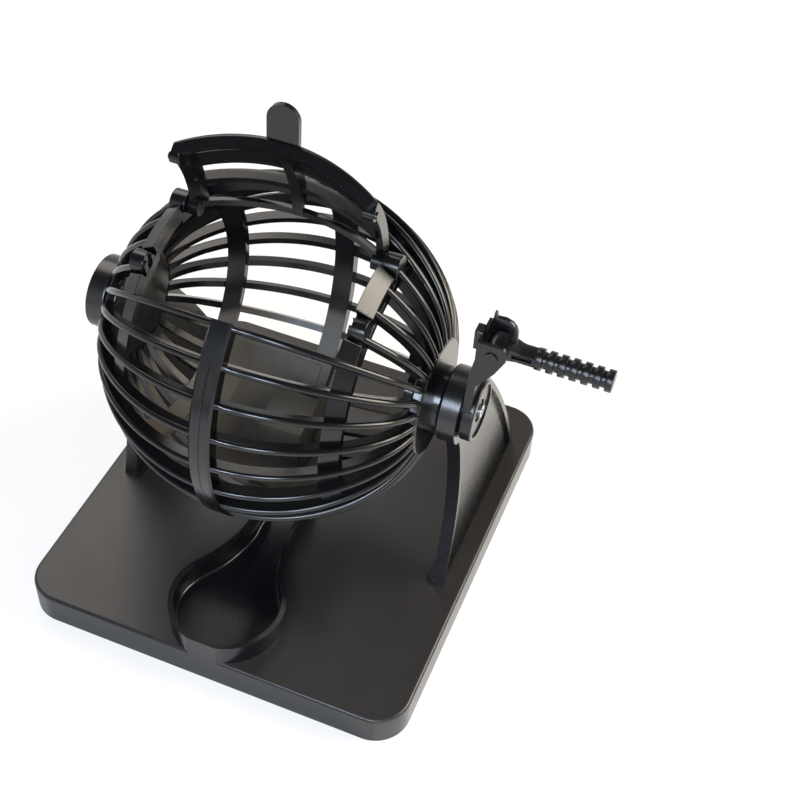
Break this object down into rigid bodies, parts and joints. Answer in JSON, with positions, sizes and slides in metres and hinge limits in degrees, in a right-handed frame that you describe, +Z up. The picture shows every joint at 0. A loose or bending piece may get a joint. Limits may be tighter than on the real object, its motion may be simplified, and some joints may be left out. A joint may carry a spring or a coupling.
{
  "type": "lottery machine",
  "caption": "Hand-cranked lottery machine: a ribbed ball cage with a hinged hatch, carried by two stands on a flat base with a ball tray, turned by a crank with a folding grip.",
  "frame": {"origin": "centre of the base's underside, on the table it stands on, midway between the stands and between the base's front and back", "axes": "+X along the cage's axis towards the crank, -Y towards the ball tray at the front, +Z up"},
  "size_m": [0.2373, 0.207, 0.2549],
  "materials": {
    "base_plastic": "satin black moulded plastic",
    "stand_plastic": "glossy black moulded plastic",
    "cage_plastic": "glossy black moulded plastic",
    "guide_plastic": "semi-gloss black moulded plastic",
    "crank_plastic": "semi-gloss black moulded plastic",
    "screw_steel": "zinc-plated steel"
  },
  "bodies": {
    "frame": {"base": "base_plastic", "left_stand": "stand_plastic", "right_stand": "stand_plastic", "stand_screws": "screw_steel"},
    "cage": {"cage_left_half": "cage_plastic", "cage_right_half": "cage_plastic", "ball_guide": "guide_plastic", "left_end_cap": "stand_plastic", "left_cap_screw": "screw_steel", "crank_arm": "crank_plastic", "crank_screw": "screw_steel", "crank_washer": "screw_steel", "grip_pin": "crank_plastic"},
    "hatch": {"hatch": "cage_plastic"},
    "grip": {"grip": "crank_plastic"}
  },
  "joints": [
    {"name": "cage_spin", "type": "hinge", "parent": "frame", "child": "cage", "pos_m": [0, -0.017, 0.136], "axis": [1, 0, 0], "continuous": true},
    {"name": "hatch_swing", "type": "hinge", "parent": "cage", "child": "hatch", "pos_m": [0, -0.00999, 0.1931], "axis": [1, 0, 0], "range_deg": [0, 80]},
    {"name": "grip_fold", "type": "hinge", "parent": "cage", "child": "grip", "pos_m": [0.0946, -0.017, 0.175], "axis": [0, 1, 0], "range_deg": [0, 75]}
  ]
}
